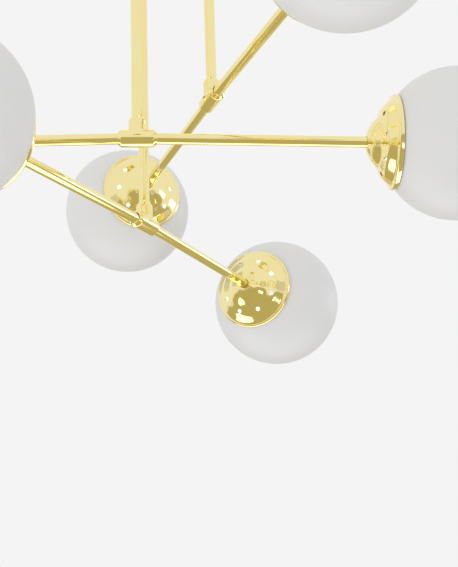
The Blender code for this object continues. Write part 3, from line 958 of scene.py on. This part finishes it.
class CHANDELIER_OT_hubs(Operator):
    """Three tee hubs and the grub screws that keep them on their rods"""

    bl_idname = "chandelier.hubs"
    bl_label = "Hubs"

    def execute(self, context):
        hub = context.scene.chandelier_hub
        finish = brass("turned_brass", drawn=False)
        steel = zinc("screw_steel", "own")
        lay = Matrix.Rotation(math.pi / 2, 4, "Y")
        for bar in BARS:
            points, faces = turned(self.sleeve(hub), 72)
            sleeve = points @ np.array(lay)[:3, :3].T, faces
            surface = together(sleeve, self.collar(hub))
            place, body = hub_place(bar), f"bar_{bar}"
            name = f"tee_hub_{bar}"
            add_piece(name, surface, place, body, finish, f"hub_{bar}")
            place, node = hub_screw_place(bar), f"hub_screw_{bar}"
            screw = self.grub_screw(*span(node, place), girth(node, place))
            add_piece(f"grub_screw_{bar}", screw, place, body, steel, node)
        return {"FINISHED"}

    def sleeve(self, hub):
        """Cross sleeve: a cylinder chamfered down to the arms, with a blind socket in
        each end."""
        mouth, seat = hub.half, hub.half - hub.socket_depth
        tip = hub.socket + HUB_LAND
        right = [
            (mouth - hub.chamfer, hub.sleeve),
            (mouth, tip),
            (mouth, hub.socket),
            (seat, hub.socket),
            (seat, 0.0),
        ]
        left = [(-height, radius) for height, radius in right[::-1]]
        return rounded([*left, *right], HUB_EDGE)

    def collar(self, hub):
        """Upright collar whose foot follows the sleeve. Each point is moved down to
        the height sqrt(sleeve^2 - across^2) by the share of the way it is to the foot,
        and the foot flares outward as the weld's fillet."""
        tip = hub.socket + HUB_LAND
        foot = hub.sleeve
        rise = np.linspace(0, 1, 9) ** 1.5
        flare = hub.weld * (1 - np.sqrt(np.clip(1 - (1 - rise) ** 2, 0, 1)))
        fillet = np.stack([foot + hub.weld * rise, hub.collar + flare], axis=1)
        top = hub.height
        corners = [
            (foot + 2 * hub.weld, hub.collar),
            (top - hub.chamfer, hub.collar),
            (top, tip),
            (top, hub.socket),
            (foot + hub.weld, hub.socket),
        ]
        upper = rounded(corners, HUB_EDGE)
        base = [(foot, hub.socket)]
        outline = np.concatenate([fillet, upper, base])

        def follow(points):
            across = np.clip(np.abs(points[..., 1]) / hub.sleeve, 0, 0.999)
            drop = hub.sleeve * (1 - np.sqrt(1 - across**2)) + HUB_SINK
            height = points[..., 2]
            near = np.clip((top - hub.chamfer - height) / (top - hub.chamfer - foot), 0, 1)
            moved = points.copy()
            moved[..., 2] = height - drop * near**2
            return moved

        return turned(outline, 72, follow)

    def grub_screw(self, low, high, radius):
        """Flat-ended screw with a hexagonal socket in its outer end."""
        key, depth, lead, edge = 0.0011, 0.0012, 0.0003, 0.0002
        rows = [
            (low, 0.0),
            (low, 0.8 * radius),
            (low + lead, radius),
            (high - edge, radius),
            (high, 0.9 * radius),
            (high, key),
            (high - depth, key),
            (high - depth, 0.0),
        ]
        socket = slice(5, 7)

        def hexagon(points):
            turn = polar(points)[0]
            share = np.ones(turn.shape)
            flat = (turn[socket] % (math.pi / 3)) - math.pi / 6
            share[socket] = math.cos(math.pi / 6) / np.cos(flat)
            return drawn_in(points, share)

        return turned(rows, 48, hexagon)


class CHANDELIER_OT_canopy(Operator):
    """Pressed ceiling canopy, its two thumb screws and the plate behind it"""

    bl_idname = "chandelier.canopy"
    bl_label = "Canopy"

    def execute(self, context):
        sizes = context.scene.chandelier_canopy
        finish = brass("pressed_brass", drawn=False)
        place, body = Matrix.Identity(4), "canopy_frame"
        low, high = span("canopy", place)
        radius = girth("canopy", place)
        corners = [(low, 0.0), (low, radius), (high - sizes.wall / 2, radius)]
        outline = rounded(corners, sizes.corner, 12)
        spots = [Vector(JOINTS[f"bar_swivel_{bar}"]["pos_m"]).to_2d() for bar in BARS]
        first = math.atan2(spots[0].y, spots[0].x)
        fine = np.linspace(0, radius - 2 * sizes.corner, 30)[:-1]
        flat = np.stack([np.full(len(fine), low), fine], axis=1)
        margin = 0.001
        beyond = outline[:, 1] > fine[-1] + margin
        outline = np.concatenate([flat, outline[beyond]])
        ring = spots[0].length
        holes = (len(BARS), sizes.rod_hole, ring, first)
        surface = pierced_shell(outline, sizes.wall, *holes, spare=14)
        add_piece("pressed_canopy", surface, place, body, finish, "canopy")
        for number, side in ((1, 1), (2, -1)):
            node = f"canopy_screw_{number}"
            low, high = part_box(node)
            lay = Matrix.Rotation(side * math.pi / 2, 4, "Y")
            level = (low.z + high.z) / 2
            place = Matrix.Translation((side * radius, 0, level)) @ lay
            screw = self.thumb_screw(*span(node, place), girth(node, place))
            name = f"canopy_thumb_screw_{number}"
            add_piece(name, screw, place, body, finish, node)
        steel = zinc("plate_steel", "object")
        self.refinish("ceiling_bracket", steel)
        self.refinish("terminal_block", moulded())
        return {"FINISHED"}

    def thumb_screw(self, low, high, radius):
        """Shank and knurled head: the head's side swells and sinks as the cosine of
        many turns, and its face is slightly crowned."""
        shank, head, knurls, depth = 0.0020, 0.0003, 28, 0.00012
        lead, crown = 0.0008, 0.0006
        corners = [
            (low, 0.0),
            (low, 0.7 * shank),
            (low + lead, shank),
            (head, shank),
            (head, radius),
            (high - crown, radius),
            (high, 0.4 * radius),
            (high, 0.0),
        ]

        def knurl(points):
            turn, far = polar(points)
            side = np.clip((far - 0.8 * radius) / (0.2 * radius), 0, 1)
            return drawn_in(points, 1 - side * depth / radius * (1 + np.cos(knurls * turn)))

        return turned(rounded(corners, 0.0004), 8 * knurls, knurl)

    def refinish(self, node, finish):
        """Gives a CAD node that stays in view its finish."""
        kept = frame["nodes"][node]
        kept.data.materials.clear()
        kept.data.materials.append(finish)


class CHANDELIER_OT_nuts(Operator):
    """Hexagonal lock nuts on the rods and inside the cups"""

    bl_idname = "chandelier.nuts"
    bl_label = "Lock nuts"

    def execute(self, context):
        finish = zinc("nut_steel", "own")
        for bar in BARS:
            place, node = rod_place(bar), f"rod_nut_{bar}"
            surface = self.nut(*span(node, place), girth(node, place))
            add_piece(f"lock_{node}", surface, place, "canopy_frame", finish, node)
        add_at_cups("lock_cup_nut", "cup_nut", finish, self.nut)
        return {"FINISHED"}

    def nut(self, low, high, corner):
        """Hexagon cut back by a cone at both faces: the radius at each turn and height
        is the smaller of the hexagon's and the cone's. The bore has a countersink."""
        flat = corner * math.cos(math.pi / 6)
        bore, sink, cut = 0.0053, 0.0005, 0.0007
        rows = [
            (low, bore + sink),
            (low, 0.93 * corner),
            (low + cut, corner),
            (high - cut, corner),
            (high, 0.93 * corner),
            (high, bore + sink),
            (high - sink, bore),
            (low + sink, bore),
        ]
        outline = []
        for start, end in zip(rows, rows[1:] + rows[:1]):
            share = np.linspace(0, 1, 4)[:-1, None]
            outline.append(np.array(start) * (1 - share) + np.array(end) * share)

        def hexagon(points):
            turn, far = polar(points)
            edge = flat / np.cos(turn % (math.pi / 3) - math.pi / 6)
            return drawn_in(points, np.minimum(far, edge) / far)

        return turned(np.concatenate(outline), 96, hexagon)


class CHANDELIER_OT_lampholders(Operator):
    """Ceramic lampholders and the bulbs screwed into them"""

    bl_idname = "chandelier.lampholders"
    bl_label = "Lampholders and bulbs"

    def execute(self, context):
        glaze, glass, cap = ceramic(), frosted(), nickel()
        for arm in ARMS:
            place, body = cup_place(arm), f"bar_{arm[0]}"
            node = f"lampholder_{arm}"
            low, mouth = span(node, place)
            holder = turned(self.holder(low, mouth, girth(node, place)), 64)
            add_piece(f"lamp_socket_{arm}", holder, place, body, glaze, node)
            node = f"bulb_{arm}"
            low, crown = span(node, place)
            bulb = turned(self.bulb(mouth, crown, girth(node, place)), 64)
            add_piece(f"bulb_glass_{arm}", bulb, place, body, glass, node)
            screw = self.screw_cap(low, mouth)
            add_piece(f"bulb_screw_cap_{arm}", screw, place, body, cap)
        return {"FINISHED"}

    def holder(self, low, mouth, radius):
        """Cap on the arm's thread, shoulder, body with two grooves, and the socket."""
        cap, cap_radius, shoulder, groove = 0.0065, 0.0090, 0.0020, 0.0007
        socket, floor, way, bore = 0.0078, 0.0230, 0.0024, 0.0053
        groove_inset, seat, edge = 0.006, 0.0047, 0.0008
        base = low + cap + shoulder
        corners = [(low, bore), (low, cap_radius), (low + cap, cap_radius), (base, radius)]
        for level in (base + groove_inset, mouth - groove_inset):
            corners += [(level - groove, radius), (level, radius - groove)]
            corners += [(level + groove, radius)]
        corners += [
            (mouth, radius),
            (mouth, socket),
            (mouth - floor, socket),
            (mouth - floor, way),
            (low + seat, way),
            (low + seat, bore),
        ]
        return rounded_loop(corners, edge)

    def bulb(self, mouth, crown, radius):
        """Ball that narrows to its neck through an even curve, and into the cap."""
        neck, foot, waist, base, rise, fillet = 0.0088, 0.0062, 0.0074, 0.0005, 0.0040, 0.0030
        first = math.asin(neck / radius) + 0.12
        ball = arc(crown - radius, radius, first, math.pi, 40)
        start = [(mouth + base, 0.0), (mouth + base, foot), (mouth + rise, waist)]
        throat = rounded([*start, tuple(ball[0]), tuple(ball[2])], fillet)[:-1]
        outline = np.concatenate([throat, ball[2:]])
        outline[-1, 1] = 0.0
        return outline

    def screw_cap(self, low, mouth):
        """Threaded cap: radius = mean + swell cos(turn - 2 pi height / pitch) along the
        thread, fading out at both ends, with the contact button at the tip."""
        mean, swell, pitch = 0.0066, 0.00035, 0.0028
        contact, button, shoulder, rise = 0.0022, 0.0028, 0.0060, 0.0012
        edge, lid_low, lid_top = 0.0068, mouth + 0.0022, mouth + 0.0024
        first, last, rows = low + 0.0045, mouth + 0.0010, 72
        levels = np.linspace(first, last, rows)
        side = np.stack([levels, np.full(rows, mean)], axis=1)
        foot = [(low, 0.0), (low, contact), (low + rise, button), (first, shoulder)]
        tip = rounded(foot, 0.001)
        lid = [(lid_low, edge), (lid_top, shoulder), (lid_top, 0.0)]

        def thread(points):
            height = points[..., 2]
            turn, far = polar(points)
            fade = np.clip((height - first) / pitch, 0, 1) * np.clip((last - height) / pitch, 0, 1)
            wave = swell * fade * np.cos(turn - 2 * math.pi * height / pitch)
            return drawn_in(points, 1 + wave / far)

        return turned(np.concatenate([tip, side, lid]), 64, thread)


class CHANDELIER_OT_springs(Operator):
    """Spring crowns whose leaves hold the globes' necks"""

    bl_idname = "chandelier.springs"
    bl_label = "Spring crowns"

    def execute(self, context):
        cup = context.scene.chandelier_cup

        def shape(low, high, _):
            return self.crown(cup, low, high)

        add_at_cups("spring_crown", "globe_clip", spring(), shape)
        return {"FINISHED"}

    def crown(self, cup, low, high):
        """Flat ring inside the step, and leaves bent from it: a thin rounded strip
        carried along a smooth curve that bows out to the neck and in at its tip."""
        leaves, thick, width, edge = 4, 0.0006, 0.0050, 0.0002
        ring_in, ring_out = cup.dome + 0.001, cup.dome + 0.003
        level = low + thick / 2
        slope = (cup.step_depth - cup.dome_depth) / (cup.step - cup.dome)
        rise = slope * (ring_out - ring_in)
        section = [
            (level - thick / 2, ring_in),
            (level + rise - thick / 2, ring_out),
            (level + rise + thick / 2, ring_out),
            (level + thick / 2, ring_in),
        ]
        ring = turned(rounded_loop(section, edge)[::-1], 72)
        press, heel, foot = 0.0326, cup.step - 0.0022, ring_in + 0.0006
        tip_length, tip_inset, bend = 0.0045, 0.0020, 0.0016
        corners = [
            (level + 0.3 * rise, foot),
            (level + slope * (heel - ring_in), heel),
            (high - tip_length, press),
            (high, press - tip_inset),
        ]
        bent = rounded(corners, bend, 8)
        path = np.stack([bent[:, 1], bent[:, 0]], axis=1)
        half, flat = width / 2, thick / 2
        across = [(-half, -flat), (half, -flat), (half, flat), (-half, flat)]
        strip = swept(path, rounded_loop(across, edge, 3))
        first = math.pi / cup.vents
        turns = [first + 2 * math.pi * k / leaves for k in range(leaves)]
        return together(ring, *(spun(strip, turn) for turn in turns))


class CHANDELIER_PT_panel(Panel):
    """Lists the lamp's pieces"""

    bl_label = "Chandelier"
    bl_space_type = "VIEW_3D"
    bl_region_type = "UI"
    bl_category = "Chandelier"

    def draw(self, context):
        for made in OPERATORS:
            self.layout.operator(made.bl_idname)


OPERATORS = (
    CHANDELIER_OT_stage,
    CHANDELIER_OT_globes,
    CHANDELIER_OT_cups,
    CHANDELIER_OT_tubes,
    CHANDELIER_OT_hubs,
    CHANDELIER_OT_canopy,
    CHANDELIER_OT_nuts,
    CHANDELIER_OT_lampholders,
    CHANDELIER_OT_springs,
)
SETTINGS = {
    "chandelier_cup": ChandelierCupSizes,
    "chandelier_globe": ChandelierGlobeSizes,
    "chandelier_tube": ChandelierTubeSizes,
    "chandelier_hub": ChandelierHubSizes,
    "chandelier_canopy": ChandelierCanopySizes,
    "chandelier_finish": ChandelierFinish,
    "chandelier_stage": ChandelierStage,
}


def register():
    for made in (*SETTINGS.values(), *OPERATORS, CHANDELIER_PT_panel):
        bpy.utils.register_class(made)
    for name, made in SETTINGS.items():
        setattr(bpy.types.Scene, name, PointerProperty(type=made))


def unregister():
    for name in SETTINGS:
        delattr(bpy.types.Scene, name)
    for made in (CHANDELIER_PT_panel, *OPERATORS, *SETTINGS.values()):
        bpy.utils.unregister_class(made)


def main():
    """Builds the lamp in order."""
    register()
    bpy.ops.chandelier.stage()
    bpy.ops.chandelier.globes()
    bpy.ops.chandelier.cups()
    bpy.ops.chandelier.tubes()
    bpy.ops.chandelier.hubs()
    bpy.ops.chandelier.canopy()
    bpy.ops.chandelier.nuts()
    bpy.ops.chandelier.lampholders()
    bpy.ops.chandelier.springs()


if __name__ == "__main__":
    main()
